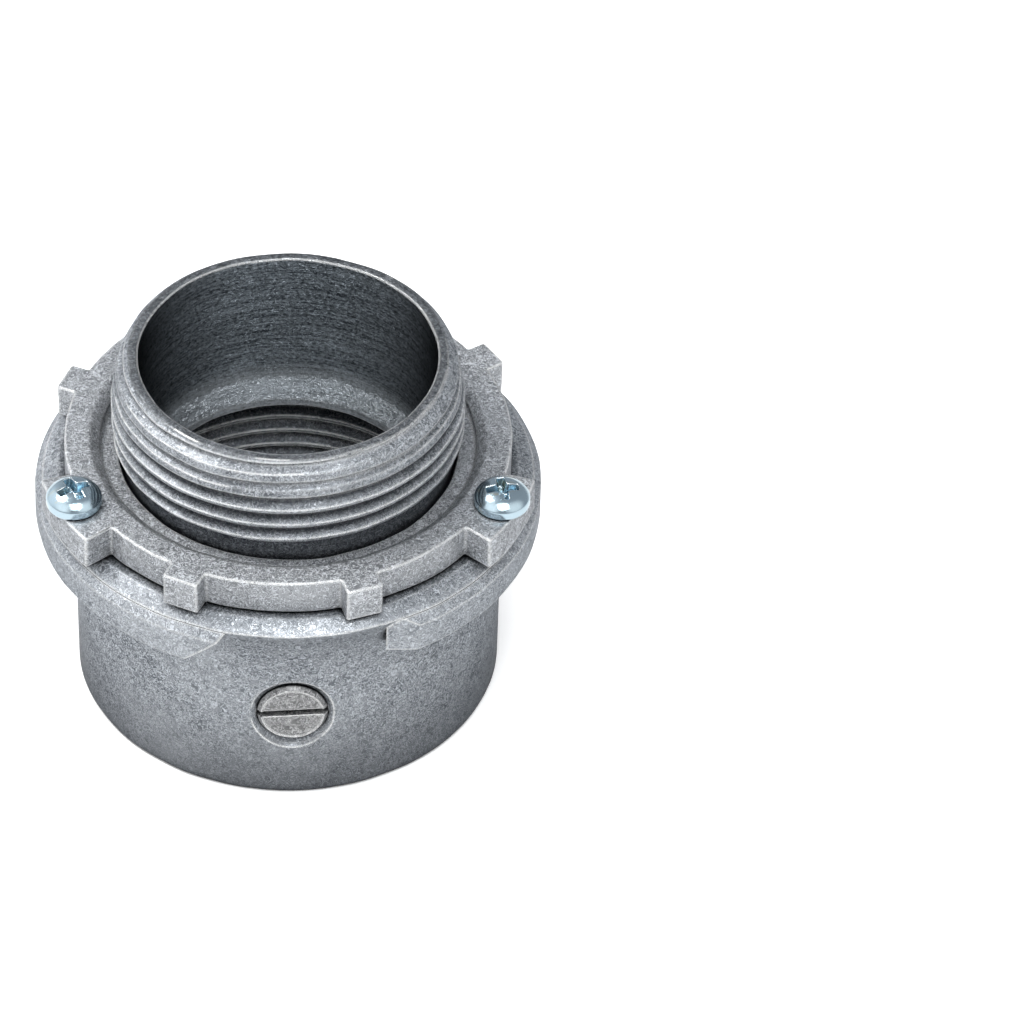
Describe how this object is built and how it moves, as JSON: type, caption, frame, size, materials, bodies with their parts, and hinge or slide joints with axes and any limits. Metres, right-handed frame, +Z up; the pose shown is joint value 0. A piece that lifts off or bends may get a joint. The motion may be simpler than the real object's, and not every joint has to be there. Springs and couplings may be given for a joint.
{
  "type": "threaded conduit hub",
  "caption": "Round threaded conduit hub: a flanged barrel with a threaded nipple, a lugged locknut with bonding screws and a slotted side plug.",
  "frame": {"origin": "on the hub's axis, in the plane of the flange face that meets the enclosure wall", "axes": "+Z runs up the axis towards the end of the nipple, -Y is the side of the slotted plug, +X is to the right as seen from the plug's side"},
  "size_m": [0.0608, 0.0599, 0.047],
  "materials": {
    "body_casting": "as-cast zinc, fine grain, worn bright on the edges",
    "nut_casting": "as-cast zinc, slightly lighter than the body",
    "plated_screw": "bright zinc plating",
    "plug_metal": "turned zinc, matt",
    "sealing_rubber": "smooth black rubber"
  },
  "bodies": {
    "hub": {"hub_body": "body_casting", "sealing_ring": "sealing_rubber"},
    "nut": {"locknut": "nut_casting"},
    "screw_left": {"bonding_screw_left": "plated_screw"},
    "screw_right": {"bonding_screw_right": "plated_screw"},
    "plug": {"slotted_plug": "plug_metal"}
  },
  "joints": [
    {"name": "locknut_turn", "type": "hinge", "parent": "hub", "child": "nut", "pos_m": [0, 0, 0], "axis": [0, 0, 1], "range_deg": [0, 1900]},
    {"name": "screw_left_turn", "type": "hinge", "parent": "nut", "child": "screw_left", "pos_m": [-0.02514, -0.01253, 0.0046], "axis": [0, 0, 1], "range_deg": [0, 1980]},
    {"name": "screw_right_turn", "type": "hinge", "parent": "nut", "child": "screw_right", "pos_m": [0.02514, -0.01253, 0.0046], "axis": [0, 0, 1], "range_deg": [0, 1980]},
    {"name": "plug_turn", "type": "hinge", "parent": "hub", "child": "plug", "pos_m": [0.00054, -0.02569, -0.0173], "axis": [0.0209, -0.9998, 0], "range_deg": [0, 1440]}
  ]
}
